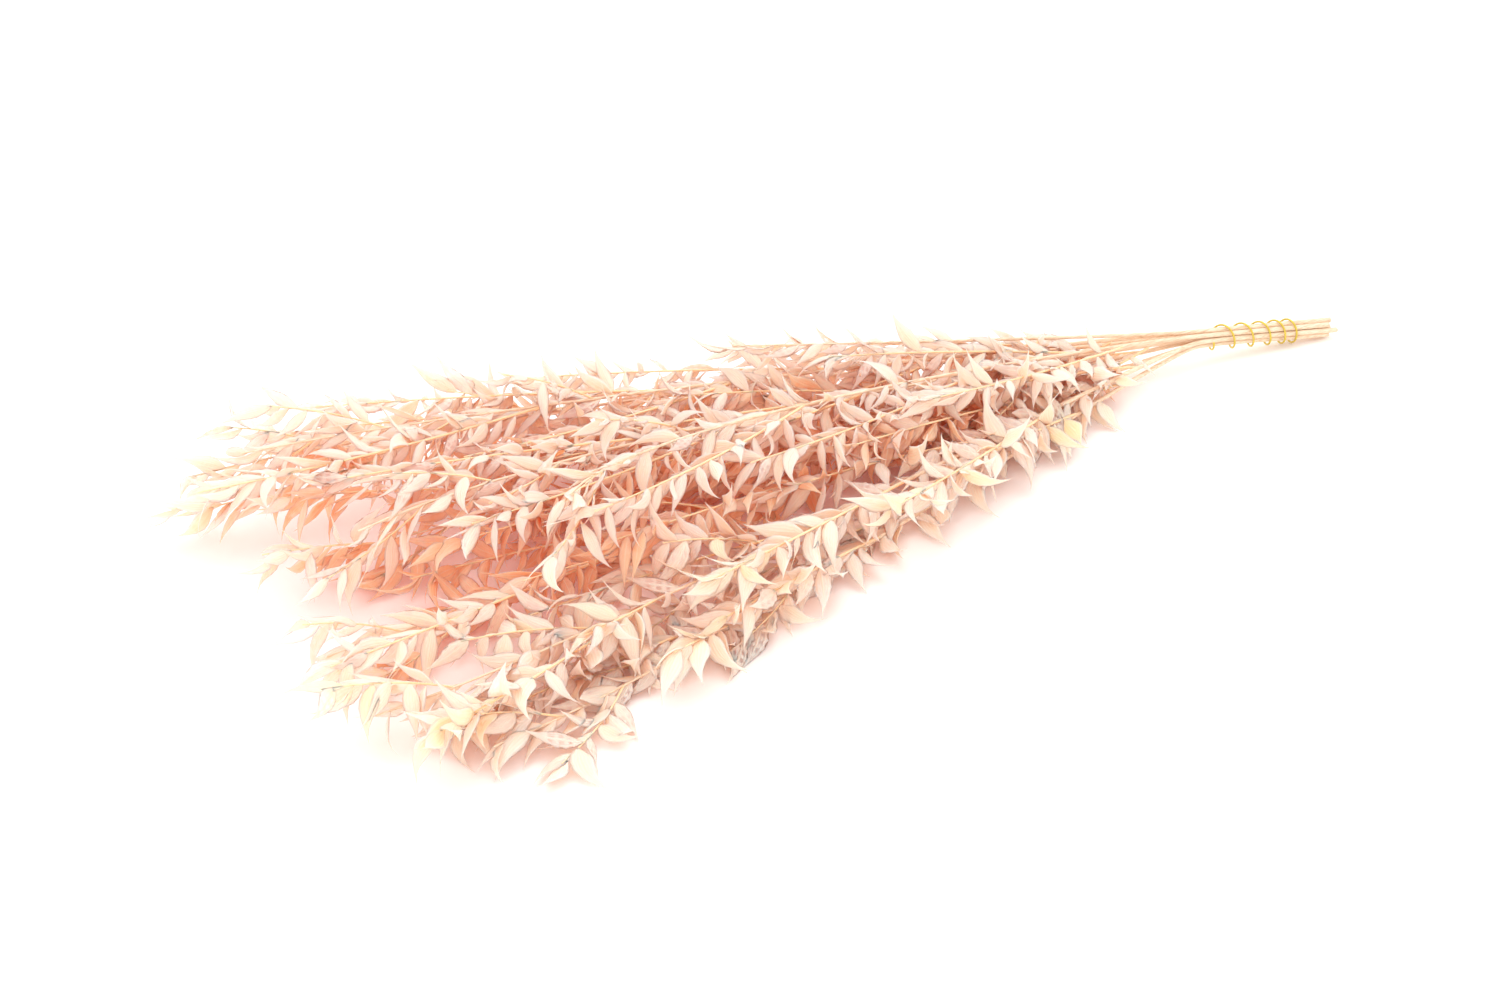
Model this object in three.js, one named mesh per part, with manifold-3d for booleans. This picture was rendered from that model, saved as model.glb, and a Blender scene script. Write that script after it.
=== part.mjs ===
// A bundle of dried ruscus lying on a table: nine stems held by a coil of wire near their cut ends. Each stem
// is a bare cane at first and bears leaves further on, and side shoots and sprays with leaves of their own
// grow from it.
// Millimetres, +Z up. The stems run from their cut ends, at high X, towards -X, where they fan out.
// The origin is on the table, under the middle of the bundle's box.
import * as THREE from "three";
import { mergeVertices } from "three/addons/utils/BufferGeometryUtils.js";
import Module from "manifold-3d";

const wasm = await Module();
wasm.setup();

// Stems
const stemRadius = 1.7; // at the cut end
const stemTipRadius = 0.5;
const stemSides = 6;
const stemSteps = 16; // straight pieces of a stem past the handle
const stemGap = 0.4; // between neighbouring stems inside the tie
const stemLeafSpacing = 8;

// The bare handle, which rises from the table towards the leaves
const handleLength = 104; // from the cut ends to where the stems part
const handleRise = 6; // degrees
const handleTurn = 9; // degrees that the handle turns from the bundle's own length
const cutStagger = 4; // most that one cut end stands forward or back of the others' middle
const partLength = 30; // how far the stems keep the handle's direction as they part

// The wire tie
const wireRadius = 0.65;
const wireSides = 6;
const wireStart = 29; // distance of the coil's first turn from the cut ends
const wireLength = 68; // length of the coil along the handle
const wireTurns = 5.5;
const wireOpening = 1.35; // the turns lie further apart towards the leaves
const wireClearance = 0.4; // between the wire and the stems
const wireSteps = 77;

// Side shoots
const shootRadius = 0.85;
const shootTipRadius = 0.4;
const shootSides = 4;
const shootSteps = 4;
const firstShoot = 128; // distance of a stem's lowest side shoot from its cut end
const lastShoot = 130; // distance of its highest one from its tip
const shootGap = 0.3; // between a side shoot and the stem that it grows from
const shootRoom = 0.6; // least gap to every other stem and shoot
const shootLift = 8; // least height of a side shoot's tip
const shootSpread = 72; // degrees to each side of its stem's facing
const shootFirstLeaf = 10; // distance of its lowest leaf from its base
const shootRolls = [0, 14, -14, 28, -28, 42, -42, 56, -56, 70, -70]; // degrees that it may turn to find room
const sprayRolls = [...shootRolls, 90, -90, 110, -110, 130, -130, 150, -150];

// Sprays: short twigs that fan out along the outer part of a stem and are one solid with it
const sprayRadius = 0.6;
const sprayTipRadius = 0.35;
const lastSpray = 40; // distance of a stem's outermost spray from its tip
const sprayStep = 40; // between the places of two sprays
const sprayLength = 62;
const sprayAngle = 32; // degrees between a spray and its stem
const sprayTurn = 137.5; // degrees round the stem from one spray to the next

// Leaves
const leafLength = 30;
const leafWidth = 9;
const leafThickness = 0.9;
const leafWidest = 0.45; // share of the length where the leaf is widest
const leafSpacing = 4.8; // along a side shoot
const leafAngle = 50; // degrees between a leaf and its shoot
const leafAngleSpread = 22; // most that one leaf's angle is off
const leafRollSpread = 1; // most, in radians, that a leaf is turned round its shoot
const leafDroop = 0.25;
const leafGap = 0.35; // least gap between a leaf and anything but its own shoot
const finestDetail = 0.003; // a leaf whose join would leave corners closer than this is left out
const leafPairs = 8; // of this many leaves in a row, two are modelled
const tipLeaves = 2; // and this many at the end of each stem, shoot and spray
const tableGap = 1; // the leaves bend up to stay this far above the table

const stemColor = 0xe8c9a0;
const leafColor = 0xf2c8b6;
const wireColor = 0xd9ab2e;

// Each stem passes its middle place and ends at its tip, both given from the cut ends: back, aside, up.
// Its leaves begin at the distance bare from its cut end. Its side shoots have the given length and leave
// it at the given angle, to both sides of the direction facing: 0 is aside, 90 is up, 180 the other side.
// Its sprays turn round it from that direction, starting near its tip.
// The first stem is the middle one of the handle, and the others stand round it, clockwise from the top
// one as seen from the cut ends.
const stems = [
  {
    middle: [350, 26, 42], tip: [676, 20, 53], bare: 185,
    shoots: 6, sprays: 5, length: 180, angle: 17, facing: -90,
  },
  {
    middle: [240, 41, 42], tip: [420, 72, 71], bare: 330,
    shoots: 1, sprays: 0, length: 110, angle: 62, facing: -70,
  },
  {
    middle: [362, 61, 44], tip: [702, 118, 60], bare: 200,
    shoots: 7, sprays: 6, length: 180, angle: 17, facing: -90,
  },
  {
    middle: [375, 84, 31], tip: [726, 140, 42], bare: 185,
    shoots: 7, sprays: 7, length: 180, angle: 17, facing: 260,
  },
  {
    middle: [362, 34, 20], tip: [694, 58, 21], bare: 185,
    shoots: 7, sprays: 7, length: 185, angle: 18, facing: 110,
  },
  {
    middle: [370, -4, 17], tip: [716, -28, 18], bare: 185,
    shoots: 6, sprays: 7, length: 180, angle: 17, facing: 70,
  },
  {
    middle: [350, -50, 10], tip: [676, -132, 13], bare: 200,
    shoots: 5, sprays: 5, length: 150, angle: 13, facing: 60,
  },
  {
    middle: [374, -44, 24], tip: [716, -88, 19], bare: 185,
    shoots: 6, sprays: 6, length: 165, angle: 16, facing: 90,
  },
  {
    middle: [332, 12, 50], tip: [592, -48, 78], bare: 200,
    shoots: 5, sprays: 1, length: 175, angle: 17, facing: -100,
  },
];

const radians = THREE.MathUtils.degToRad;
const up = new THREE.Vector3(0, 0, 1);
const ringStems = stems.length - 1;
const ringRadius = (2 * stemRadius + stemGap) / (2 * Math.sin(Math.PI / ringStems));
const handleRadius = ringRadius + stemRadius;
const handleWay = new THREE.Vector3(-1, Math.tan(radians(handleTurn)), Math.tan(radians(handleRise)));
handleWay.normalize();
const handleStart = new THREE.Vector3(0, 0, handleRadius);

// A repeatable number from 0 to 1 for each whole-number key, and one from -size to size.
function scatter(key) {
  const v = Math.sin(key * 12.9898) * 43758.5453;
  return v - Math.floor(v);
}
function spread(key, size) {
  return (2 * scatter(key) - 1) * size;
}

// ---- Paths: points along a line, with their distances from its start

function pathThrough(points) {
  const distances = [0];
  for (let i = 1; i < points.length; i++)
    distances.push(distances[i - 1] + points[i].distanceTo(points[i - 1]));
  return { points, distances, length: distances.at(-1) };
}

function placeOn(path, distance) {
  let i = 1;
  while (i < path.points.length - 1 && path.distances[i] < distance) i++;
  const [a, b] = [path.points[i - 1], path.points[i]];
  const share = (distance - path.distances[i - 1]) / (path.distances[i] - path.distances[i - 1]);
  return { point: a.clone().lerp(b, share), forward: b.clone().sub(a).normalize() };
}

// The two directions square to a forward one: level, and rising.
function acrossOf(forward) {
  const level = new THREE.Vector3().crossVectors(forward, up).normalize();
  return { level, rising: new THREE.Vector3().crossVectors(level, forward) };
}

// A direction square to a forward one, turned about it from level by a roll.
function asideOf(forward, roll) {
  const { level, rising } = acrossOf(forward);
  return level.multiplyScalar(Math.cos(roll)).addScaledVector(rising, Math.sin(roll));
}

// A direction that leaves a forward one by an angle, on the side given by a roll.
function branchWay(forward, angle, roll) {
  const aside = asideOf(forward, roll).multiplyScalar(Math.sin(angle));
  return aside.addScaledVector(forward, Math.cos(angle));
}

// The distance between two straight pieces, a to b and c to d.
function pieceDistance(a, b, c, d) {
  const along = b.clone().sub(a);
  const other = d.clone().sub(c);
  const between = a.clone().sub(c);
  const cross = along.dot(other);
  const [alongSq, otherSq] = [along.lengthSq(), other.lengthSq()];
  const clamp = THREE.MathUtils.clamp;
  const spare = alongSq * otherSq - cross * cross;
  const start = cross * other.dot(between) - otherSq * along.dot(between);
  const first = spare > 1e-9 ? clamp(start / spare, 0, 1) : 0;
  const second = clamp((cross * first + other.dot(between)) / otherSq, 0, 1);
  const nearest = clamp((cross * second - along.dot(between)) / alongSq, 0, 1);
  return between.addScaledVector(along, nearest).addScaledVector(other, -second).length();
}

function pathDistance(path, other) {
  let least = Infinity;
  for (let i = 1; i < path.points.length; i++)
    for (let j = 1; j < other.points.length; j++) {
      const pieces = [path.points[i - 1], path.points[i], other.points[j - 1], other.points[j]];
      least = Math.min(least, pieceDistance(...pieces));
    }
  return least;
}

// ---- Solids

function solidOf(geometry) {
  const bare = geometry.clone();
  bare.deleteAttribute("normal");
  bare.deleteAttribute("uv");
  const merged = mergeVertices(bare, 1e-4);
  return new wasm.Manifold(
    new wasm.Mesh({
      numProp: 3,
      vertProperties: merged.attributes.position.array,
      triVerts: new Uint32Array(merged.index.array),
    }),
  );
}

function geometryOf(solid) {
  const mesh = solid.getMesh();
  return new THREE.BufferGeometry()
    .setAttribute("position", new THREE.BufferAttribute(mesh.vertProperties, 3))
    .setIndex(new THREE.BufferAttribute(mesh.triVerts, 1));
}

// Whether no two corners of a solid are closer than the finest detail.
function isSound(solid) {
  const geometry = geometryOf(solid);
  return mergeVertices(geometry, finestDetail).attributes.position.count === solid.numVert();
}

// A tapered rod with one ring at each point of its path.
function rodSolid(path, startRadius, tipRadius, sides) {
  const rod = new THREE.CylinderGeometry(1, 1, 1, sides, path.points.length - 1);
  const position = rod.attributes.position;
  for (let i = 0; i < position.count; i++) {
    const number = Math.round((position.getY(i) + 0.5) * (path.points.length - 1));
    const before = path.points[Math.max(number - 1, 0)];
    const after = path.points[Math.min(number + 1, path.points.length - 1)];
    const { level, rising } = acrossOf(after.clone().sub(before).normalize());
    const radius = THREE.MathUtils.lerp(startRadius, tipRadius, path.distances[number] / path.length);
    const point = path.points[number].clone().addScaledVector(level, radius * position.getX(i));
    point.addScaledVector(rising, radius * position.getZ(i));
    position.setXYZ(i, point.x, point.y, point.z);
  }
  return solidOf(rod);
}

// A leaf from its base along its way: a pointed blade with a keel under it for its midrib.
function leafSolid(leaf) {
  const blade = new THREE.SphereGeometry(1, 3, 2).rotateY(-Math.PI / 2);
  const position = blade.attributes.position;
  for (let i = 0; i < position.count; i++) {
    const along = (position.getY(i) + 1) / 2;
    position.setY(i, leaf.length * (Math.abs(along - 0.5) < 0.01 ? leafWidest : along));
    position.setX(i, (position.getX(i) * leaf.width) / Math.sqrt(3));
    position.setZ(i, (position.getZ(i) * leafThickness) / 1.5);
  }
  const face = new THREE.Vector3().crossVectors(leaf.across, leaf.way);
  const place = new THREE.Matrix4().makeBasis(leaf.across, leaf.way, face).setPosition(leaf.base);
  return solidOf(blade.applyMatrix4(place));
}

// ---- Growth: where the stems, shoots and leaves are

function stemPath(stem, number) {
  const { level, rising } = acrossOf(handleWay);
  const turn = ((number - 1) / ringStems) * 2 * Math.PI;
  const aside = level.multiplyScalar(Math.sin(turn)).addScaledVector(rising, Math.cos(turn));
  const cut = handleStart.clone().addScaledVector(aside, number ? ringRadius : 0);
  const inHandle = (distance) => cut.clone().addScaledVector(handleWay, distance);
  const placeOf = ([back, side, height]) => new THREE.Vector3(-back, side, height);
  const start = inHandle(handleLength);
  const leave = inHandle(handleLength + partLength);
  const tip = placeOf(stem.tip);
  const arrive = placeOf(stem.middle).multiplyScalar(8).sub(start).addScaledVector(leave, -3).sub(tip);
  arrive.divideScalar(3);
  const curve = new THREE.CubicBezierCurve3(start, leave, arrive, tip);
  return pathThrough([inHandle(spread(number + 5, cutStagger)), ...curve.getPoints(stemSteps)]);
}

// A side shoot or spray leaves its stem at an angle and bends back towards the stem's own direction.
// It starts at an offset from the middle of the stem.
function shootPath(stem, distance, length, angle, roll, offset) {
  const { point, forward } = placeOn(stem, distance);
  const base = point.addScaledVector(asideOf(forward, roll), offset);
  const middle = base.clone().addScaledVector(branchWay(forward, angle, roll), length / 2);
  const tip = middle.clone().addScaledVector(branchWay(forward, angle * 0.4, roll), length / 2);
  middle.z = Math.max(middle.z, shootLift);
  tip.z = Math.max(tip.z, shootLift);
  return pathThrough(new THREE.QuadraticBezierCurve3(base, middle, tip).getPoints(shootSteps));
}

// One leaf of a stem, shoot or spray, on alternate sides of it: its base, its way and the direction across.
function leafAt(twig, number) {
  const key = twig.key + 10 * (number + 1);
  const distance = twig.firstLeaf + number * twig.leafSpacing;
  const { point, forward } = placeOn(twig.path, distance);
  const share = distance / twig.path.length;
  const roll = spread(twig.key + 3, 0.7) + number * Math.PI + spread(key + 2, leafRollSpread);
  const angle = radians(leafAngle * (1 - 0.55 * share ** 3) + spread(key + 3, leafAngleSpread));
  const length = leafLength * (1 + spread(key + 4, 0.2));
  const way = branchWay(forward, angle, roll);
  way.z -= leafDroop;
  way.normalize();
  const lowest = (tableGap - point.z) / length;
  if (way.z < lowest) {
    way.setZ(0).setLength(Math.sqrt(1 - lowest ** 2));
    way.z = lowest;
  }
  const tilt = Math.min(point.z / leafLength, 1); // near the table the leaves lie flatter
  const across = asideOf(way, spread(key + 5, tilt * Math.PI / 2));
  return { base: point, way, across, length, width: (leafWidth * length) / leafLength };
}

function leafCount(twig) {
  return Math.floor((twig.path.length - 3 - twig.firstLeaf) / twig.leafSpacing) + 1;
}

// The wire's centre line: a coil round the handle whose turns lie further apart towards the leaves.
class CoilCurve extends THREE.Curve {
  getPoint(share, target = new THREE.Vector3()) {
    const { level, rising } = acrossOf(handleWay);
    const turn = share * wireTurns * 2 * Math.PI;
    const radius = handleRadius + wireClearance + wireRadius;
    return target
      .copy(handleStart)
      .addScaledVector(handleWay, wireStart + wireLength * share ** wireOpening)
      .addScaledVector(level, radius * Math.cos(turn))
      .addScaledVector(rising, -radius * Math.sin(turn));
  }
}

function wireGeometry() {
  const section = new THREE.Shape();
  for (let i = 0; i < wireSides; i++) {
    const turn = (i / wireSides) * 2 * Math.PI;
    section[i ? "lineTo" : "moveTo"](wireRadius * Math.cos(turn), wireRadius * Math.sin(turn));
  }
  section.closePath();
  return new THREE.ExtrudeGeometry(section, { steps: wireSteps, extrudePath: new CoilCurve() });
}

// ---- The bundle

const twigs = stems.map((stem, number) => ({
  name: `stem_${number + 1}`,
  key: 10000 * (number + 1),
  path: stemPath(stem, number),
  startRadius: stemRadius,
  tipRadius: stemTipRadius,
  sides: stemSides,
  firstLeaf: stem.bare,
  leafSpacing: stemLeafSpacing,
}));

// The path of a side shoot or spray, with the first of its rolls that leaves it room among the stems,
// shoots and sprays already there.
function clearPath(own, radius, rolls, pathAt) {
  const paths = rolls.map((step) => pathAt(radians(step)));
  const isClear = (path) =>
    twigs.every((twig) => {
      const room = twig.startRadius + radius + shootRoom;
      return twig === own || pathDistance(path, twig.path) > room;
    });
  return paths.find(isClear) ?? paths[0];
}

stems.forEach((stem, number) => {
  const own = twigs[number];
  const run = own.path.length - lastShoot - firstShoot;
  for (let i = 0; i < stem.shoots; i++) {
    const key = own.key + 1000 * (i + 1);
    const distance = firstShoot + ((i + 0.2 + scatter(key) * 0.6) * run) / stem.shoots;
    const length = stem.length * (1 + spread(key + 1, 0.12));
    const facing = radians(stem.facing + (i % 2 ? shootSpread : -shootSpread)) + spread(key + 2, 0.35);
    const radius = THREE.MathUtils.lerp(stemRadius, stemTipRadius, distance / own.path.length);
    const offset = radius + shootGap + shootRadius;
    const angle = radians(stem.angle);
    const pathAt = (turn) => shootPath(own.path, distance, length, angle, facing + turn, offset);
    twigs.push({
      name: `shoot_${number + 1}_${i + 1}`,
      key,
      path: clearPath(own, shootRadius, shootRolls, pathAt),
      startRadius: shootRadius,
      tipRadius: shootTipRadius,
      sides: shootSides,
      firstLeaf: shootFirstLeaf,
      leafSpacing,
    });
  }
});

stems.forEach((stem, number) => {
  const own = twigs[number];
  for (let i = 0; i < stem.sprays; i++) {
    const key = own.key + 1000 * (i + 1) + 500;
    const distance = own.path.length - lastSpray - i * sprayStep;
    const length = sprayLength * (1 + spread(key + 1, 0.15));
    const facing = radians(stem.facing + i * sprayTurn) + spread(key + 2, 0.35);
    const pathAt = (turn) => shootPath(own.path, distance, length, radians(sprayAngle), facing + turn, 0);
    twigs.push({
      name: own.name,
      key,
      path: clearPath(own, sprayRadius, sprayRolls, pathAt),
      startRadius: sprayRadius,
      tipRadius: sprayTipRadius,
      sides: shootSides,
      firstLeaf: shootFirstLeaf,
      leafSpacing,
    });
  }
});

for (const twig of twigs) {
  twig.rod = rodSolid(twig.path, twig.startRadius, twig.tipRadius, twig.sides);
  twig.leaves = [];
}

// A pair of leaves in every few and the ones at the tips are modelled, and only where they have room.
const placed = twigs.map((twig) => ({ solid: twig.rod, box: twig.rod.boundingBox() }));
const boxesMeet = (a, b) =>
  [0, 1, 2].every((i) => a.min[i] - leafGap < b.max[i] && b.min[i] - leafGap < a.max[i]);
for (const twig of twigs) {
  const count = leafCount(twig);
  for (let i = 0; i < count; i++) {
    if (i % leafPairs > 1 && i < count - tipLeaves) continue;
    const solid = leafSolid(leafAt(twig, i));
    const box = solid.boundingBox();
    const isBlocked = placed.some(
      (other) =>
        other.solid !== twig.rod &&
        boxesMeet(box, other.box) &&
        solid.minGap(other.solid, leafGap) < leafGap,
    );
    if (isBlocked) continue;
    twig.leaves.push(solid);
    placed.push({ solid, box });
  }
}

const bundle = new THREE.Group();

function addPiece(name, geometry, color, roughness, metalness) {
  const material = new THREE.MeshStandardMaterial({ color, roughness, metalness });
  const mesh = new THREE.Mesh(geometry, material);
  mesh.name = name;
  bundle.add(mesh);
}

// Joins the solids that leave no corners closer than the finest detail.
function joinSound(first, others) {
  let whole = first;
  for (const other of others) {
    const joined = whole.add(other);
    if (isSound(joined)) whole = joined;
  }
  return whole;
}

for (const twig of twigs) twig.solid = joinSound(twig.rod, twig.leaves);
for (const name of new Set(twigs.map((twig) => twig.name))) {
  const [own, ...sprays] = twigs.filter((twig) => twig.name === name);
  const whole = joinSound(own.solid, sprays.map((spray) => spray.solid));
  addPiece(name, geometryOf(whole), own.sides === stemSides ? stemColor : leafColor, 0.7, 0);
}
addPiece("tie", wireGeometry(), wireColor, 0.35, 0.9);

// The origin goes under the middle of the bundle's box.
const box = new THREE.Box3().setFromObject(bundle);
const middle = box.getCenter(new THREE.Vector3());
bundle.position.set(-middle.x, -middle.y, -box.min.z);

export default bundle;
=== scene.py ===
import math
import bmesh
import bpy
from mathutils import Matrix, Vector


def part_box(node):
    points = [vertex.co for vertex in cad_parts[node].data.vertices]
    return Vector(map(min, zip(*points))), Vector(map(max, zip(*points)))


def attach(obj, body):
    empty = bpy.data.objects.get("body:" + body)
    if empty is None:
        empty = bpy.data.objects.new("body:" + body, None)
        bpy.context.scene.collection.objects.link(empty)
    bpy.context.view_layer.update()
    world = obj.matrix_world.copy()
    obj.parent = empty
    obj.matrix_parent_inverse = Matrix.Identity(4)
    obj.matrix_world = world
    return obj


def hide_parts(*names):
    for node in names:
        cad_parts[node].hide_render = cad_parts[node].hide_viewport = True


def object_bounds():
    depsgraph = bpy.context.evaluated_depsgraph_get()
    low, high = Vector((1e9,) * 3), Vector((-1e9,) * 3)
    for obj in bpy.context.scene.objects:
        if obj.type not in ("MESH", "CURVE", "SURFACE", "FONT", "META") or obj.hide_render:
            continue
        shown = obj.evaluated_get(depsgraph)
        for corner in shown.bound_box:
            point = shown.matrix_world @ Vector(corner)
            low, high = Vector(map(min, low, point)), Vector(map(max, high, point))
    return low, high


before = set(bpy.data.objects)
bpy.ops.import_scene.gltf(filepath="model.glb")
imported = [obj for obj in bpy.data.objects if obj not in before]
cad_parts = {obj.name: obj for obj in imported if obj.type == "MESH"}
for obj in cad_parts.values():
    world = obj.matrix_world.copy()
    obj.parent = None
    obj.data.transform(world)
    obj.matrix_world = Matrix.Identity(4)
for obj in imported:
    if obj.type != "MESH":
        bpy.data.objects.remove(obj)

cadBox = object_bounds()
scene = bpy.context.scene
bpy.ops.object.select_all(action="DESELECT")


# the growth: where the stems, their side shoots and the leaves are, in metres

handle = {
    "stems": 9,
    "stemRadius": 0.0017,
    "tipRadius": 0.0005,
    "gap": 0.0004,
    "length": 0.104,
    "rise": 6,       # degrees
    "turn": 9,
    "stagger": 0.004,
    "part": 0.03,    # how far the stems keep the handle's direction
    "steps": 16,
}

# middle and tip are back, aside and up from the cut ends, as in the CAD stems
# bare is how far the stem has no leaves, and length, angle and facing are those of its shoots
# blush is how pink the leaves are, and breadth is how wide they are
stems = [
    {"middle": (0.350, 0.026, 0.042), "tip": (0.676, 0.020, 0.053), "bare": 0.185, "shoots": 6,
     "sprays": 5, "length": 0.180, "angle": 17, "facing": -90, "blush": 0.22, "breadth": 0.8},
    {"middle": (0.240, 0.041, 0.042), "tip": (0.420, 0.072, 0.071), "bare": 0.330, "shoots": 1,
     "sprays": 0, "length": 0.110, "angle": 62, "facing": -70, "blush": 0.2, "breadth": 0.8},
    {"middle": (0.362, 0.061, 0.044), "tip": (0.702, 0.118, 0.060), "bare": 0.200, "shoots": 7,
     "sprays": 6, "length": 0.180, "angle": 17, "facing": -90, "blush": 0.22, "breadth": 0.8},
    {"middle": (0.375, 0.084, 0.031), "tip": (0.726, 0.140, 0.042), "bare": 0.185, "shoots": 7,
     "sprays": 7, "length": 0.180, "angle": 17, "facing": 260, "blush": 0.25, "breadth": 0.85},
    {"middle": (0.362, 0.034, 0.020), "tip": (0.694, 0.058, 0.021), "bare": 0.185, "shoots": 7,
     "sprays": 7, "length": 0.185, "angle": 18, "facing": 110, "blush": 0.4, "breadth": 0.9},
    {"middle": (0.370, -0.004, 0.017), "tip": (0.716, -0.028, 0.018), "bare": 0.185, "shoots": 6,
     "sprays": 7, "length": 0.180, "angle": 17, "facing": 70, "blush": 0.38, "breadth": 0.9},
    {"middle": (0.350, -0.050, 0.010), "tip": (0.676, -0.132, 0.013), "bare": 0.200, "shoots": 5,
     "sprays": 5, "length": 0.150, "angle": 13, "facing": 60, "blush": -0.05, "breadth": 1.2},
    {"middle": (0.374, -0.044, 0.024), "tip": (0.716, -0.088, 0.019), "bare": 0.185, "shoots": 6,
     "sprays": 6, "length": 0.165, "angle": 16, "facing": 90, "blush": 0.0, "breadth": 1.15},
    {"middle": (0.332, 0.012, 0.050), "tip": (0.592, -0.048, 0.078), "bare": 0.200, "shoots": 5,
     "sprays": 1, "length": 0.175, "angle": 17, "facing": -100, "blush": 0.2, "breadth": 0.85},
]

shoot = {
    "radius": 0.00085,
    "tipRadius": 0.0004,
    "steps": 4,
    "first": 0.128,
    "last": 0.130,
    "tipAngle": 0.4,       # the outer half's angle to the stem, as a share of the inner half's
    "gap": 0.0003,
    "room": 0.0006,
    "lift": 0.008,
    "spread": 72,
    "placeSpread": 0.6,    # shares of the space between two shoots, of the length, and radians
    "lengthSpread": 0.12,
    "turnSpread": 0.35,
    "inset": 0.006,        # how far along the stem a shoot's twig begins inside it
    "firstLeaf": 0.010,
    "rollSteps": (0, 14, -14, 28, -28, 42, -42, 56, -56, 70, -70),
}

# short side twigs that fan out at each stem's end, growing from the stem itself
spray = {
    "radius": 0.0006,
    "tipRadius": 0.00035,
    "first": 0.040,   # distance of the last one from the stem's tip
    "step": 0.040,
    "length": 0.062,
    "angle": 32,
    "turn": 137.5,
    "lengthSpread": 0.15,
    "turnSpread": 0.35,
    "rollSteps": (0, 14, -14, 28, -28, 42, -42, 56, -56, 70, -70, 90, -90, 110, -110, 130, -130, 150, -150),
}

leaf = {
    "length": 0.030,
    "width": 0.0092,
    "spacing": 0.0048,
    "stemSpacing": 0.008,
    "angle": 50,
    "closing": 0.55,      # how much smaller the angle is at a twig's tip
    "angleSpread": 22,
    "rankSpread": 0.7,
    "rollSpread": 1.0,
    "lengthSpread": 0.2,
    "lastGap": 0.003,     # between the last leaf and the twig's tip
    "droop": 0.25,
    "floorGap": 0.001,
    "blushSpread": 0.15,
    "clearance": 0.0003,  # between a blade and the table
    "pushes": 8,
    "push": 1.3,
    "boxSpare": 0.02,     # share of the box that a blade may stand out
}


def scatter(key):
    v = math.sin(key * 12.9898) * 43758.5453
    return v - math.floor(v)


def spread(key, size):
    return (2 * scatter(key) - 1) * size


def acrossOf(forward):
    level = forward.cross(Vector((0, 0, 1))).normalized()
    return level, level.cross(forward)


def asideOf(forward, roll):
    level, rising = acrossOf(forward)
    return level * math.cos(roll) + rising * math.sin(roll)


def branchWay(forward, angle, roll):
    return asideOf(forward, roll) * math.sin(angle) + forward * math.cos(angle)


def pathThrough(points):
    distances = [0]
    for a, b in zip(points, points[1:]):
        distances.append(distances[-1] + (b - a).length)
    return {"points": points, "distances": distances, "length": distances[-1]}


def placeOn(path, distance):
    points, distances = path["points"], path["distances"]
    i = 1
    while i < len(points) - 1 and distances[i] < distance:
        i += 1
    share = (distance - distances[i - 1]) / (distances[i] - distances[i - 1])
    return points[i - 1].lerp(points[i], share), (points[i] - points[i - 1]).normalized()


def clamp(value):
    return min(max(value, 0), 1)


def pieceDistance(a, b, c, d):
    along, other, between = b - a, d - c, a - c
    cross, alongSq, otherSq = along.dot(other), along.dot(along), other.dot(other)
    spare = alongSq * otherSq - cross * cross
    reach = cross * other.dot(between) - otherSq * along.dot(between)
    first = clamp(reach / spare) if spare > 1e-15 else 0  # 0 where the two pieces are parallel
    second = clamp((cross * first + other.dot(between)) / otherSq)
    nearest = clamp((cross * second - along.dot(between)) / alongSq)
    return (between + along * nearest - other * second).length


def pathDistance(path, other):
    return min(
        pieceDistance(a, b, c, d)
        for a, b in zip(path["points"], path["points"][1:])
        for c, d in zip(other["points"], other["points"][1:])
    )


ringStems = handle["stems"] - 1
ringRadius = (2 * handle["stemRadius"] + handle["gap"]) / (2 * math.sin(math.pi / ringStems))
handleRadius = ringRadius + handle["stemRadius"]
handleWay = Vector((-1, math.tan(math.radians(handle["turn"])), math.tan(math.radians(handle["rise"]))))
handleWay.normalize()
handleStart = Vector((0, 0, handleRadius))


def stemPath(stem, number):
    level, rising = acrossOf(handleWay)
    turn = (number - 1) / ringStems * 2 * math.pi
    cut = handleStart + (level * math.sin(turn) + rising * math.cos(turn)) * (ringRadius if number else 0)
    start = cut + handleWay * handle["length"]
    leave = cut + handleWay * (handle["length"] + handle["part"])
    middle, tip = [Vector((-back, side, up)) for back, side, up in (stem["middle"], stem["tip"])]
    arrive = (middle * 8 - start - leave * 3 - tip) / 3
    points = [cut + handleWay * spread(number + 5, handle["stagger"])]
    for i in range(handle["steps"] + 1):
        t = i / handle["steps"]
        s = 1 - t
        points.append(start * s**3 + leave * 3 * s * s * t + arrive * 3 * s * t * t + tip * t**3)
    return pathThrough(points)


def shootPath(stem, distance, length, angle, roll, offset):
    point, forward = placeOn(stem, distance)
    base = point + asideOf(forward, roll) * offset
    middle = base + branchWay(forward, angle, roll) * (length / 2)
    tip = middle + branchWay(forward, angle * shoot["tipAngle"], roll) * (length / 2)
    middle.z = max(middle.z, shoot["lift"])
    tip.z = max(tip.z, shoot["lift"])
    points = []
    for i in range(shoot["steps"] + 1):
        t = i / shoot["steps"]
        s = 1 - t
        points.append(base * s * s + middle * 2 * s * t + tip * t * t)
    return pathThrough(points)


def clearPath(own, distance, length, angle, facing, offset, kind, twigs):
    paths = []
    for step in kind["rollSteps"]:
        paths.append(shootPath(own["path"], distance, length, angle, facing + math.radians(step), offset))
        if all(twig is own or pathDistance(paths[-1], twig["path"]) >
               twig["radius"] + kind["radius"] + shoot["room"] for twig in twigs):
            return paths[-1]
    return paths[0]


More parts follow.
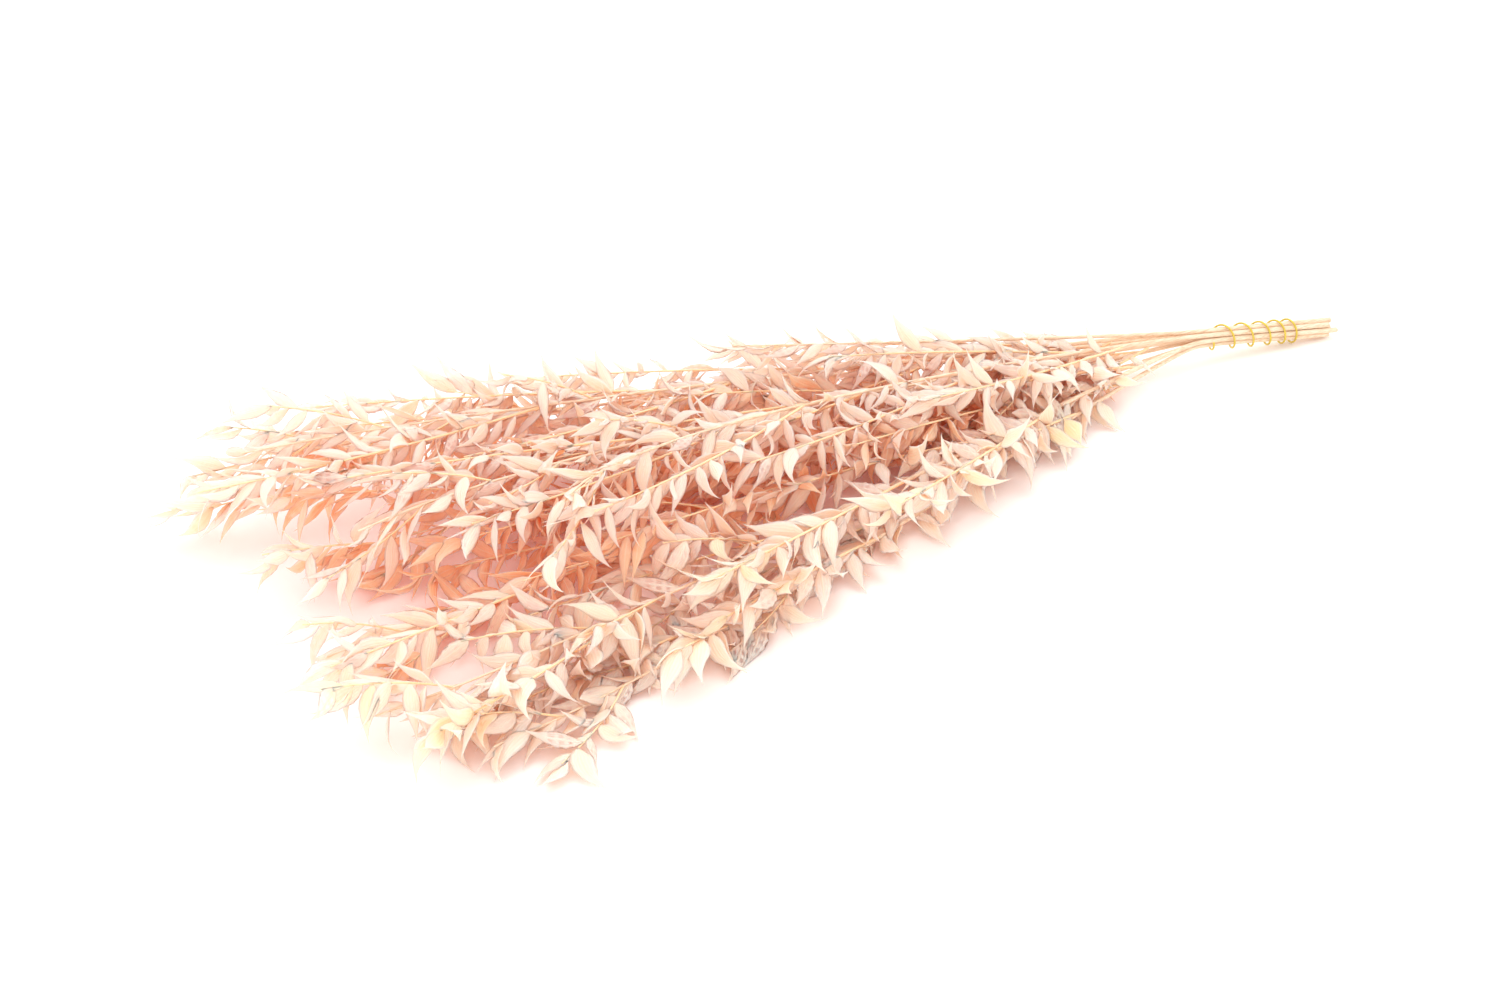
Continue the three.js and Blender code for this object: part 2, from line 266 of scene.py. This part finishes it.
def growTwigs():
    twigs = []
    for number, stem in enumerate(stems):
        twigs.append({
            "name": f"stem_{number + 1}", "key": 10000 * (number + 1), "path": stemPath(stem, number),
            "radius": handle["stemRadius"], "tipRadius": handle["tipRadius"], "firstLeaf": stem["bare"],
            "spacing": leaf["stemSpacing"], "blush": stem["blush"], "breadth": stem["breadth"],
            "root": None,
        })
    for number, stem in enumerate(stems):
        own = twigs[number]
        run = own["path"]["length"] - shoot["last"] - shoot["first"]
        for i in range(stem["shoots"]):
            key = own["key"] + 1000 * (i + 1)
            place = i + (1 - shoot["placeSpread"]) / 2 + scatter(key) * shoot["placeSpread"]
            distance = shoot["first"] + place * run / stem["shoots"]
            length = stem["length"] * (1 + spread(key + 1, shoot["lengthSpread"]))
            facing = math.radians(stem["facing"] + (shoot["spread"] if i % 2 else -shoot["spread"]))
            facing += spread(key + 2, shoot["turnSpread"])
            share = distance / own["path"]["length"]
            radius = handle["stemRadius"] * (1 - share) + handle["tipRadius"] * share
            path = clearPath(own, distance, length, math.radians(stem["angle"]), facing,
                             radius + shoot["gap"] + shoot["radius"], shoot, twigs)
            twigs.append({
                "name": f"shoot_{number + 1}_{i + 1}", "key": key, "path": path,
                "radius": shoot["radius"], "tipRadius": shoot["tipRadius"], "firstLeaf": shoot["firstLeaf"],
                "spacing": leaf["spacing"], "blush": stem["blush"], "breadth": stem["breadth"],
                "root": placeOn(own["path"], distance - shoot["inset"])[0],
            })
    for number, stem in enumerate(stems):
        own = twigs[number]
        for i in range(stem["sprays"]):
            key = own["key"] + 1000 * (i + 1) + 500
            distance = own["path"]["length"] - spray["first"] - i * spray["step"]
            length = spray["length"] * (1 + spread(key + 1, spray["lengthSpread"]))
            facing = math.radians(stem["facing"] + i * spray["turn"]) + spread(key + 2, spray["turnSpread"])
            path = clearPath(own, distance, length, math.radians(spray["angle"]), facing, 0, spray, twigs)
            twigs.append({
                "name": f"spray_{number + 1}_{i + 1}", "key": key, "path": path,
                "radius": spray["radius"], "tipRadius": spray["tipRadius"], "firstLeaf": shoot["firstLeaf"],
                "spacing": leaf["spacing"], "blush": stem["blush"], "breadth": stem["breadth"],
                "root": path["points"][0],
            })
    return twigs


def leafAt(twig, number):
    key = twig["key"] + 10 * (number + 1)
    distance = twig["firstLeaf"] + number * twig["spacing"]
    point, forward = placeOn(twig["path"], distance)
    share = distance / twig["path"]["length"]
    roll = spread(twig["key"] + 3, leaf["rankSpread"]) + number * math.pi
    roll += spread(key + 2, leaf["rollSpread"])
    angle = leaf["angle"] * (1 - leaf["closing"] * share**3) + spread(key + 3, leaf["angleSpread"])
    length = leaf["length"] * (1 + spread(key + 4, leaf["lengthSpread"]))
    way = branchWay(forward, math.radians(angle), roll)
    way.z -= leaf["droop"]
    way.normalize()
    lowest = (leaf["floorGap"] - point.z) / length
    if way.z < lowest:
        way = Vector((way.x, way.y, 0)).normalized() * math.sqrt(1 - lowest**2)
        way.z = lowest
    tilt = min(point.z / leaf["length"], 1)  # near the table the leaves lie flatter
    return {"base": point, "way": way, "across": asideOf(way, spread(key + 5, tilt * math.pi / 2)),
            "length": length, "key": key}


def leafCount(twig):
    return math.floor((twig["path"]["length"] - leaf["lastGap"] - twig["firstLeaf"]) / twig["spacing"]) + 1


# painted shade: leaves with many others above them, counted in columns, are painted a deeper salmon blush,
# for the shade and the pink light bounced between leaves deep in the bunch
shade = {"column": 0.02, "above": 0.004, "leaves": 30, "blush": 0.55, "power": 1.5}


def leafDepths(places):
    columns = {}
    for place in places:
        middle = place["base"] + place["way"] * (place["length"] / 2)
        place["column"] = math.floor(middle.x / shade["column"]), math.floor(middle.y / shade["column"])
        place["height"] = middle.z
        columns.setdefault(place["column"], []).append(middle.z)
    for place in places:
        x, y = place["column"]
        above = sum(z > place["height"] + shade["above"] for i in (-1, 0, 1) for j in (-1, 0, 1)
                    for z in columns.get((x + i, y + j), ()))
        place["depth"] = min(above / shade["leaves"], 1)


wire = {
    "radius": 0.00065,
    "start": 0.029,
    "length": 0.068,
    "turns": 5.5,
    "opening": 1.35,      # the turns lie further apart towards the leaves
    "clearance": 0.0004,
    "steps": 24,          # points in a turn
}


def coilPoints():
    level, rising = acrossOf(handleWay)
    radius = handleRadius + wire["clearance"] + wire["radius"]
    count = round(wire["turns"] * wire["steps"])
    points = []
    for i in range(count + 1):
        share = i / count
        turn = share * wire["turns"] * 2 * math.pi
        centre = handleStart + handleWay * (wire["start"] + wire["length"] * share ** wire["opening"])
        points.append(centre + level * (radius * math.cos(turn)) - rising * (radius * math.sin(turn)))
    return points


# the growth starts at the cut ends, so it moves to where the CAD's tie is
coil = coilPoints()
tieLow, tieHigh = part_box("tie")
coilLow = Vector([min(p[i] for p in coil) for i in range(3)])
coilHigh = Vector([max(p[i] for p in coil) for i in range(3)])
shift = (tieLow + tieHigh) / 2 - (coilLow + coilHigh) / 2
twigs = growTwigs()
for twig in twigs:
    twig["leaves"] = [leafAt(twig, i) for i in range(leafCount(twig))]
leafDepths([place for twig in twigs for place in twig["leaves"]])
print("growth:", len(twigs), "stems and shoots, shift", tuple(round(v, 5) for v in shift))


def newMaterial(name):
    material = bpy.data.materials.new(name)
    material.use_nodes = True
    tree = material.node_tree
    tree.nodes.clear()
    output = tree.nodes.new("ShaderNodeOutputMaterial")
    shader = tree.nodes.new("ShaderNodeBsdfPrincipled")
    tree.links.new(shader.outputs["BSDF"], output.inputs["Surface"])
    return material, tree, shader


def mathNode(tree, operation, first, second=None, third=None):
    node = tree.nodes.new("ShaderNodeMath")
    node.operation = operation
    for i, value in enumerate((first, second, third)):
        if value is None:
            continue
        if isinstance(value, (int, float)):
            node.inputs[i].default_value = value
        else:
            tree.links.new(value, node.inputs[i])
    return node.outputs[0]


def mixColor(tree, factor, first, second, blend="MIX"):
    node = tree.nodes.new("ShaderNodeMix")
    node.data_type = "RGBA"
    node.blend_type = blend
    for socket, value in ((node.inputs[0], factor), (node.inputs[6], first), (node.inputs[7], second)):
        if isinstance(value, (int, float)):
            socket.default_value = value
        elif isinstance(value, tuple):
            socket.default_value = (*value, 1)
        else:
            tree.links.new(value, socket)
    return node.outputs[2]


def rampNode(tree, factor, stops):
    node = tree.nodes.new("ShaderNodeValToRGB")
    ramp = node.color_ramp
    while len(ramp.elements) < len(stops):
        ramp.elements.new(0.5)
    for element, (place, color) in zip(ramp.elements, stops):
        element.position = place
        element.color = (*color, 1)
    tree.links.new(factor, node.inputs[0])
    return node.outputs[0]


def attributeNode(tree, name):
    node = tree.nodes.new("ShaderNodeAttribute")
    node.attribute_name = name
    return node.outputs["Fac"]


# dry plant fibre: streaks along one direction and soft blotches, for canes, twigs and leaves
fibreGroup = bpy.data.node_groups.new("dryFibre", "ShaderNodeTree")
fibreGroup.interface.new_socket("Vector", in_out="INPUT", socket_type="NodeSocketVector")
for name in ("Streaks", "Blotches"):
    fibreGroup.interface.new_socket(name + " Scale", in_out="INPUT", socket_type="NodeSocketFloat")
    fibreGroup.interface.new_socket(name, in_out="OUTPUT", socket_type="NodeSocketFloat")
groupIn = fibreGroup.nodes.new("NodeGroupInput")
groupOut = fibreGroup.nodes.new("NodeGroupOutput")
for name, detail in (("Streaks", 4), ("Blotches", 3)):
    noise = fibreGroup.nodes.new("ShaderNodeTexNoise")
    noise.inputs["Detail"].default_value = detail
    fibreGroup.links.new(groupIn.outputs["Vector"], noise.inputs["Vector"])
    fibreGroup.links.new(groupIn.outputs[name + " Scale"], noise.inputs["Scale"])
    fibreGroup.links.new(noise.outputs["Fac"], groupOut.inputs[name])


def fibreNode(tree, vector, output, scale):
    node = tree.nodes.new("ShaderNodeGroup")
    node.node_tree = fibreGroup
    tree.links.new(vector, node.inputs["Vector"])
    node.inputs[output + " Scale"].default_value = scale
    return node.outputs[output]


leafLook = {
    "tan": (0.90, 0.67, 0.43),
    "cream": (0.96, 0.72, 0.54),
    "pale": (0.96, 0.74, 0.60),
    "pink": (0.96, 0.63, 0.46),
    "salmon": (0.96, 0.41, 0.24),
    "twig": (0.95, 0.64, 0.40),
    "dry": (0.70, 0.36, 0.20),
    "roughness": 0.43,
    "roughSpread": 0.25,
    "shine": 0.35,
    "stretch": (40, 1.6, 57),  # the streaks' scale across the blade, along it and from tone to tone
    "blotches": 70,
    "toneShare": 0.3,
    "blushShare": 0.7,
    "veins": 125,
    "veinWaver": 3,
    "veinShare": 0.16,
    "ribThinness": 45,
    "ribShare": 0.35,
    "ribHeight": 1.5,
    "patchStart": 0.52,
    "patchStrength": 1.6,
    "dryStart": 0.88,          # share of the blade's length where its tip turns brown
    "dryStrength": 5,
    "bump": 0.35,
    "relief": 0.0003,
    "subsurface": 0.9,
    "depth": 0.002,
    "glow": (1.0, 0.75, 0.65),
}


def makeLeafMaterial():
    material, tree, shader = newMaterial("bleached_leaf")
    uv = tree.nodes.new("ShaderNodeTexCoord")
    parts = tree.nodes.new("ShaderNodeSeparateXYZ")
    tree.links.new(uv.outputs["UV"], parts.inputs[0])
    u, v = parts.outputs["X"], parts.outputs["Y"]
    tone = attributeNode(tree, "tone")
    blush = attributeNode(tree, "blush")
    isLeaf = attributeNode(tree, "isLeaf")
    # the streaks are fine across the blade and long along it, and each tone has its own
    stretch = tree.nodes.new("ShaderNodeCombineXYZ")
    for axis, value, factor in zip("XYZ", (u, v, tone), leafLook["stretch"]):
        tree.links.new(mathNode(tree, "MULTIPLY", value, factor), stretch.inputs[axis])
    streaks = fibreNode(tree, stretch.outputs[0], "Streaks", 1)
    blotches = fibreNode(tree, uv.outputs["Object"], "Blotches", leafLook["blotches"])
    # parallel veins from base to tip, and the midrib down each face
    veins = mathNode(tree, "MULTIPLY", u, leafLook["veins"])
    veins = mathNode(tree, "MULTIPLY_ADD", streaks, leafLook["veinWaver"], veins)
    veins = mathNode(tree, "SINE", veins)
    veins = mathNode(tree, "MULTIPLY_ADD", veins, 0.5, 0.5)
    ribPlace = mathNode(tree, "SUBTRACT", mathNode(tree, "PINGPONG", u, 0.5), 0.25)
    ribPlace = mathNode(tree, "ABSOLUTE", ribPlace)
    rib = mathNode(tree, "SUBTRACT", 1, mathNode(tree, "MULTIPLY", ribPlace, leafLook["ribThinness"]))
    rib = mathNode(tree, "MAXIMUM", rib, 0)
    # the blush attribute holds the leaf's own pinkness plus painted shade deep in the bunch
    warm = mathNode(tree, "MULTIPLY", blush, leafLook["blushShare"])
    warm = mathNode(tree, "MULTIPLY_ADD", tone, leafLook["toneShare"], warm)
    color = rampNode(tree, warm, [
        (0, leafLook["tan"]),
        (0.1, leafLook["cream"]),
        (0.35, leafLook["pale"]),
        (0.7, leafLook["pink"]),
        (1, leafLook["salmon"]),
    ])
    veinShare = mathNode(tree, "MULTIPLY", veins, leafLook["veinShare"])
    color = mixColor(tree, veinShare, color, leafLook["salmon"])
    ribShare = mathNode(tree, "MULTIPLY", rib, leafLook["ribShare"])
    color = mixColor(tree, ribShare, color, leafLook["cream"])
    patches = mathNode(tree, "SUBTRACT", blotches, leafLook["patchStart"])
    patches = mathNode(tree, "MULTIPLY", patches, leafLook["patchStrength"])
    color = mixColor(tree, mathNode(tree, "MAXIMUM", patches, 0), color, leafLook["pale"])
    tipShare = mathNode(tree, "SUBTRACT", v, leafLook["dryStart"])
    tipShare = mathNode(tree, "MULTIPLY", tipShare, leafLook["dryStrength"])
    tipShare = mathNode(tree, "MULTIPLY", mathNode(tree, "MAXIMUM", tipShare, 0), streaks)
    color = mixColor(tree, tipShare, color, leafLook["dry"])
    color = mixColor(tree, isLeaf, leafLook["twig"], color)
    tree.links.new(color, shader.inputs["Base Color"])
    rough = mathNode(tree, "MULTIPLY_ADD", streaks, leafLook["roughSpread"], leafLook["roughness"])
    tree.links.new(rough, shader.inputs["Roughness"])
    height = mathNode(tree, "ADD", veins, streaks)
    height = mathNode(tree, "MULTIPLY_ADD", rib, leafLook["ribHeight"], height)
    bump = tree.nodes.new("ShaderNodeBump")
    bump.inputs["Strength"].default_value = leafLook["bump"]
    bump.inputs["Distance"].default_value = leafLook["relief"]
    tree.links.new(height, bump.inputs["Height"])
    tree.links.new(bump.outputs["Normal"], shader.inputs["Normal"])
    shader.inputs["Subsurface Weight"].default_value = leafLook["subsurface"]
    shader.inputs["Subsurface Radius"].default_value = leafLook["glow"]
    shader.inputs["Subsurface Scale"].default_value = leafLook["depth"]
    shader.inputs["Specular IOR Level"].default_value = leafLook["shine"]
    return material


caneLook = {
    "light": (0.86, 0.66, 0.47),
    "dark": (0.68, 0.44, 0.27),
    "pale": (0.92, 0.77, 0.60),
    "roughness": 0.45,
    "roughSpread": 0.3,
    "shine": 0.4,
    "stretch": (0.06, 1, 1),  # the canes run mostly along X
    "streaks": 1400,
    "blotches": 45,
    "patchStart": 0.55,
    "patchStrength": 2.5,
    "bump": 0.4,
    "relief": 0.0003,
}


def makeCaneMaterial():
    material, tree, shader = newMaterial("bleached_cane")
    coordinates = tree.nodes.new("ShaderNodeTexCoord")
    mapping = tree.nodes.new("ShaderNodeMapping")
    mapping.inputs["Scale"].default_value = caneLook["stretch"]
    tree.links.new(coordinates.outputs["Object"], mapping.inputs["Vector"])
    streaks = fibreNode(tree, mapping.outputs[0], "Streaks", caneLook["streaks"])
    blotches = fibreNode(tree, coordinates.outputs["Object"], "Blotches", caneLook["blotches"])
    color = rampNode(tree, streaks, [
        (0.3, caneLook["dark"]),
        (0.5, caneLook["light"]),
        (0.7, caneLook["pale"]),
    ])
    patches = mathNode(tree, "SUBTRACT", blotches, caneLook["patchStart"])
    patches = mathNode(tree, "MULTIPLY", patches, caneLook["patchStrength"])
    color = mixColor(tree, mathNode(tree, "MAXIMUM", patches, 0), color, caneLook["dark"])
    tree.links.new(color, shader.inputs["Base Color"])
    rough = mathNode(tree, "MULTIPLY_ADD", streaks, caneLook["roughSpread"], caneLook["roughness"])
    tree.links.new(rough, shader.inputs["Roughness"])
    bump = tree.nodes.new("ShaderNodeBump")
    bump.inputs["Strength"].default_value = caneLook["bump"]
    bump.inputs["Distance"].default_value = caneLook["relief"]
    tree.links.new(streaks, bump.inputs["Height"])
    tree.links.new(bump.outputs["Normal"], shader.inputs["Normal"])
    shader.inputs["Specular IOR Level"].default_value = caneLook["shine"]
    return material


wireLook = {
    "gold": (0.80, 0.60, 0.09),
    "dull": (0.55, 0.42, 0.06),
    "blotches": 260,
    "roughness": 0.2,
    "roughSpread": 0.2,
    "metallic": 0.7,
}


def makeWireMaterial():
    material, tree, shader = newMaterial("gold_wire")
    coordinates = tree.nodes.new("ShaderNodeTexCoord")
    noise = tree.nodes.new("ShaderNodeTexNoise")
    noise.inputs["Scale"].default_value = wireLook["blotches"]
    tree.links.new(coordinates.outputs["Object"], noise.inputs["Vector"])
    blotches = noise.outputs["Fac"]
    color = mixColor(tree, blotches, wireLook["gold"], wireLook["dull"])
    tree.links.new(color, shader.inputs["Base Color"])
    rough = mathNode(tree, "MULTIPLY_ADD", blotches, wireLook["roughSpread"], wireLook["roughness"])
    tree.links.new(rough, shader.inputs["Roughness"])
    shader.inputs["Metallic"].default_value = wireLook["metallic"]
    return material


leafMaterial = makeLeafMaterial()
caneMaterial = makeCaneMaterial()
wireMaterial = makeWireMaterial()
print("materials: leaf, cane and wire")


# leaf shapes, each modelled once: base at the origin, tip at Z 1, blade across X
leafShapes = [
    {"arch": 35, "twist": 25, "gutter": 60, "belly": 1.0},
    {"arch": 70, "twist": -50, "gutter": 40, "belly": 0.95},
    {"arch": -30, "twist": 40, "gutter": 80, "belly": 1.05},
    {"arch": 95, "twist": 15, "gutter": 100, "belly": 0.9},
    {"arch": 15, "twist": -95, "gutter": 50, "belly": 0.95},
    {"arch": 50, "twist": 80, "gutter": -40, "belly": 1.0},
    {"arch": -60, "twist": -20, "gutter": 120, "belly": 1.1},
]
leafForm = {
    "segments": 8,
    "rings": 8,
    "thickness": 0.012,
    "profile": (0.30, 0.74, 1.0, 0.94, 0.60, 0.26, 0.08),  # half widths of the rings from base to tip
    "places": (0.05, 0.16, 0.29, 0.43, 0.60, 0.76, 0.90),
    "thinning": 0.6,  # how much thinner the tip is than the base
    "near": 0.002,    # a vertex this close to a ring's level belongs to it
    "parking": 10,    # finished rings are moved up by this, so that they aren't taken for the next one
}


def makeLeafShape(shape, number):
    bpy.ops.mesh.primitive_uv_sphere_add(segments=leafForm["segments"], ring_count=leafForm["rings"],
                                         radius=0.5, location=(0, 0, 0))
    blade = bpy.context.active_object
    blade.name = f"leaf_shape_{number}"
    bpy.ops.object.mode_set(mode="EDIT")
    mesh = bmesh.from_edit_mesh(blade.data)
    levels = sorted({round(v.co.z, 4) for v in mesh.verts})[1:-1]
    halfWidth = leaf["width"] / leaf["length"] / 2 * shape["belly"]
    for level, width, place in zip(levels, leafForm["profile"], leafForm["places"]):
        bpy.ops.mesh.select_all(action="DESELECT")
        mesh = bmesh.from_edit_mesh(blade.data)
        ring = [v for v in mesh.verts if abs(v.co.z - level) < leafForm["near"]]
        radius = max(v.co.x for v in ring)
        for v in ring:
            v.select = True
        mesh.select_flush_mode()
        bmesh.update_edit_mesh(blade.data)
        thick = leafForm["thickness"] / 2 / radius * (1 - leafForm["thinning"] * place)
        wide = width * halfWidth / radius
        bpy.ops.transform.resize(value=(wide, thick, 1), center_override=(0, 0, level))
        bpy.ops.transform.translate(value=(0, 0, leafForm["parking"] + place - level))
    for pole, place in ((-0.5, 0), (0.5, 1)):
        bpy.ops.mesh.select_all(action="DESELECT")
        mesh = bmesh.from_edit_mesh(blade.data)
        for v in mesh.verts:
            v.select = abs(v.co.z - pole) < leafForm["near"]
        mesh.select_flush_mode()
        bmesh.update_edit_mesh(blade.data)
        bpy.ops.transform.translate(value=(0, 0, leafForm["parking"] + place - pole))
    bpy.ops.mesh.select_all(action="SELECT")
    bpy.ops.transform.translate(value=(0, 0, -leafForm["parking"]))
    bpy.ops.object.mode_set(mode="OBJECT")
    for axis, method, angle in (("Z", "BEND", shape["gutter"]), ("X", "BEND", shape["arch"]),
                                ("Z", "TWIST", shape["twist"])):
        warp = blade.modifiers.new("warp", "SIMPLE_DEFORM")
        warp.deform_method = method
        warp.deform_axis = axis
        warp.angle = math.radians(angle)
        bpy.ops.object.modifier_apply(modifier=warp.name)
    bpy.ops.object.shade_smooth()
    for name, value in (("tone", 0.5), ("blush", 0.5), ("isLeaf", 1.0)):
        attribute = blade.data.attributes.new(name, "FLOAT", "POINT")
        attribute.data.foreach_set("value", [value] * len(blade.data.vertices))
    blade.data.materials.append(leafMaterial)
    blade.select_set(False)
    return blade


shapes = [makeLeafShape(shape, i + 1) for i, shape in enumerate(leafShapes)]
print("leaf shapes:", len(shapes), "of", len(shapes[0].data.polygons), "faces")


# canes, twigs and the wire are curves with a round bevel, turned into meshes
def makeRod(name, points, radii, material, sides, smoothness):
    bpy.ops.curve.primitive_bezier_curve_add(location=(0, 0, 0))
    rod = bpy.context.active_object
    rod.name = name
    curve = rod.data
    curve.splines.clear()
    spline = curve.splines.new("BEZIER")
    spline.bezier_points.add(len(points) - 1)
    for bezierPoint, point, radius in zip(spline.bezier_points, points, radii):
        bezierPoint.co = point + shift
        bezierPoint.radius = radius
        bezierPoint.handle_left_type = "AUTO"
        bezierPoint.handle_right_type = "AUTO"
    curve.dimensions = "3D"
    curve.resolution_u = smoothness
    curve.bevel_depth = 1
    curve.bevel_resolution = sides // 4
    curve.use_fill_caps = True
    bpy.ops.object.convert(target="MESH")
    rod = bpy.context.active_object
    bpy.ops.object.mode_set(mode="EDIT")
    bpy.ops.mesh.select_all(action="SELECT")
    bpy.ops.mesh.remove_doubles(threshold=0.00001)
    bpy.ops.mesh.normals_make_consistent(inside=False)
    bpy.ops.object.mode_set(mode="OBJECT")
    bpy.ops.object.shade_smooth_by_angle(angle=math.radians(50))
    rod.data.materials.clear()
    rod.data.materials.append(material)
    rod.select_set(False)
    return rod


def rodRadii(twig, points):
    path = pathThrough(points)
    taper = (twig["tipRadius"] - twig["radius"]) / path["length"]
    return [twig["radius"] + taper * distance for distance in path["distances"]]


# whether a leaf keeps to the bunch's own box, which its curled tip may pass by a little
def isInside(points):
    for i in range(3):
        low, high = cadBox[0][i], cadBox[1][i]
        spare = leaf["boxSpare"] * (high - low)
        if min(p[i] for p in points) < low - spare or max(p[i] for p in points) > high + spare:
            return False
    return True


def copyLeaf(place, blush, breadth):
    blade = shapes[math.floor(scatter(place["key"] + 6) * len(shapes))].copy()
    blade.data = blade.data.copy()
    count = len(blade.data.vertices)
    tone = scatter(place["key"] + 7)
    blade.data.attributes["tone"].data.foreach_set("value", [tone] * count)
    # painted shade: the more leaves lie above this one, the deeper its blush
    blush += (shade["blush"] + blush) * place["depth"] ** shade["power"]
    blush += spread(place["key"] + 8, leaf["blushSpread"])
    blade.data.attributes["blush"].data.foreach_set("value", [blush] * count)
    way, length = place["way"].copy(), place["length"]
    size = Vector((length * breadth, length, length))
    # a leaf that would reach into the table is pushed up by it
    for i in range(leaf["pushes"]):
        across = (place["across"] - way * place["across"].dot(way)).normalized()
        turn = Matrix((across, way.cross(across), way)).transposed()
        low = min((turn @ (v.co * size)).z for v in blade.data.vertices) + place["base"].z + shift.z
        if low > leaf["clearance"]:
            break
        way.z += leaf["push"] * (2 * leaf["clearance"] - low) / length
        way.normalize()
    stand = Matrix.Translation(place["base"] + shift) @ turn.to_4x4()
    blade.matrix_world = stand @ Matrix.Diagonal((*size, 1))
    if not isInside([blade.matrix_world @ v.co for v in blade.data.vertices]):
        bpy.data.objects.remove(blade)
        return None
    scene.collection.objects.link(blade)
    return blade


def addLeaves(twig, rod):
    for name, value in (("tone", scatter(twig["key"] + 9)), ("blush", twig["blush"]), ("isLeaf", 0.0)):
        attribute = rod.data.attributes.new(name, "FLOAT", "POINT")
        attribute.data.foreach_set("value", [value] * len(rod.data.vertices))
    if not rod.data.uv_layers:
        rod.data.uv_layers.new(name="UVMap")
    rod.data.uv_layers[0].name = "UVMap"
    blades = [copyLeaf(place, twig["blush"], twig["breadth"]) for place in twig["leaves"]]
    blades = [blade for blade in blades if blade]
    bpy.ops.object.select_all(action="DESELECT")
    for blade in blades:
        blade.select_set(True)
    rod.select_set(True)
    bpy.context.view_layer.objects.active = rod
    bpy.ops.object.join()
    rod.select_set(False)
    return rod


def makeTwig(twig, name):
    points = twig["path"]["points"]
    if twig["root"] is not points[0]:
        points = [twig["root"], *points]
    rod = makeRod(name, points, rodRadii(twig, points), leafMaterial, sides=8, smoothness=4)
    return addLeaves(twig, rod)


def joinPieces(piece, others):
    bpy.ops.object.select_all(action="DESELECT")
    for other in (piece, *others):
        other.select_set(True)
    bpy.context.view_layer.objects.active = piece
    bpy.ops.object.join()
    piece.select_set(False)


ribForm = {"radius": 0.0003, "steps": 12}


# the stem's own leaves and its sprays are one piece, on a thin rib inside the cane
def makeFoliage(twig):
    leafy = twig["path"]["length"] - twig["firstLeaf"]
    inner = [placeOn(twig["path"], twig["firstLeaf"] + leafy * i / ribForm["steps"])[0]
             for i in range(ribForm["steps"] + 1)]
    name = twig["name"].replace("stem", "foliage")
    rib = makeRod(name, inner, [ribForm["radius"]] * len(inner), leafMaterial, sides=4, smoothness=1)
    piece = addLeaves(twig, rib)
    start = twig["name"].replace("stem", "spray") + "_"
    joinPieces(piece, [makeTwig(spur, spur["name"]) for spur in twigs if spur["name"].startswith(start)])
    return piece


for twig in twigs:
    if twig["name"].startswith("spray"):
        continue
    if twig["name"].startswith("stem"):
        points = twig["path"]["points"]
        name = twig["name"].replace("stem", "cane")
        cane = makeRod(name, points, rodRadii(twig, points), caneMaterial, sides=12, smoothness=4)
        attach(cane, "root")
        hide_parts(twig["name"])
        piece = makeFoliage(twig)
    else:
        piece = makeTwig(twig, twig["name"].replace("shoot", "sprig"))
    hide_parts(twig["name"])
    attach(piece, "root")
for shape in shapes:
    bpy.data.objects.remove(shape)
print("canes and sprigs: done")

wirePiece = makeRod("wire_tie", coil, [wire["radius"]] * len(coil), wireMaterial, sides=12, smoothness=1)
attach(wirePiece, "root")
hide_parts("tie")
print("wire tie: done")


floorLook = {"size": 8, "color": (0.99, 0.97, 0.95), "roughness": 0.9, "shine": 0.1}
bpy.ops.mesh.primitive_plane_add(size=floorLook["size"], location=(0, 0, 0))
floor = bpy.context.active_object
floor.name = "floor"
floorMaterial, floorTree, floorShader = newMaterial("white_table")
floorShader.inputs["Base Color"].default_value = (*floorLook["color"], 1)
floorShader.inputs["Roughness"].default_value = floorLook["roughness"]
floorShader.inputs["Specular IOR Level"].default_value = floorLook["shine"]
floor.data.materials.append(floorMaterial)

lights = {
    "sky": 1.25,
    "key": {"place": (0.1, 0.4, 1.4), "size": 1.5, "power": 8},
    "fill": {"place": (-1.1, -1.3, 0.9), "size": 1.4, "power": 4},
}
world = bpy.data.worlds.new("studio")
world.use_nodes = True
world.node_tree.nodes["Background"].inputs["Color"].default_value = (1, 1, 1, 1)
world.node_tree.nodes["Background"].inputs["Strength"].default_value = lights["sky"]
scene.world = world
for name in ("key", "fill"):
    bpy.ops.object.light_add(type="AREA", location=lights[name]["place"])
    lamp = bpy.context.active_object
    lamp.name = name
    lamp.data.shape = "DISK"
    lamp.data.size = lights[name]["size"]
    lamp.data.energy = lights[name]["power"]
    lamp.rotation_mode = "QUATERNION"
    lamp.rotation_quaternion = (-Vector(lights[name]["place"])).to_track_quat("-Z", "Y")

view = {"place": (-0.990, -0.860, 0.5985), "azimuth": 32, "pitch": 30, "lens": 50, "sensor": 36}
bpy.ops.object.camera_add()
camera = bpy.context.active_object
camera.data.lens = view["lens"]
camera.data.sensor_width = view["sensor"]
camera.location = Vector(view["place"]) + Vector((shift.x, shift.y, 0))
side = math.radians(view["azimuth"])
fall = math.radians(view["pitch"])
looking = Vector((math.sin(side) * math.cos(fall), math.cos(side) * math.cos(fall), -math.sin(fall)))
camera.rotation_mode = "QUATERNION"
camera.rotation_quaternion = looking.to_track_quat("-Z", "Y")
scene.camera = camera
scene.view_settings.view_transform = "Standard"
# light passes on from leaf to leaf many times in the pale bunch
scene.cycles.max_bounces = 16
scene.cycles.diffuse_bounces = 12
print("floor, light and camera: done")
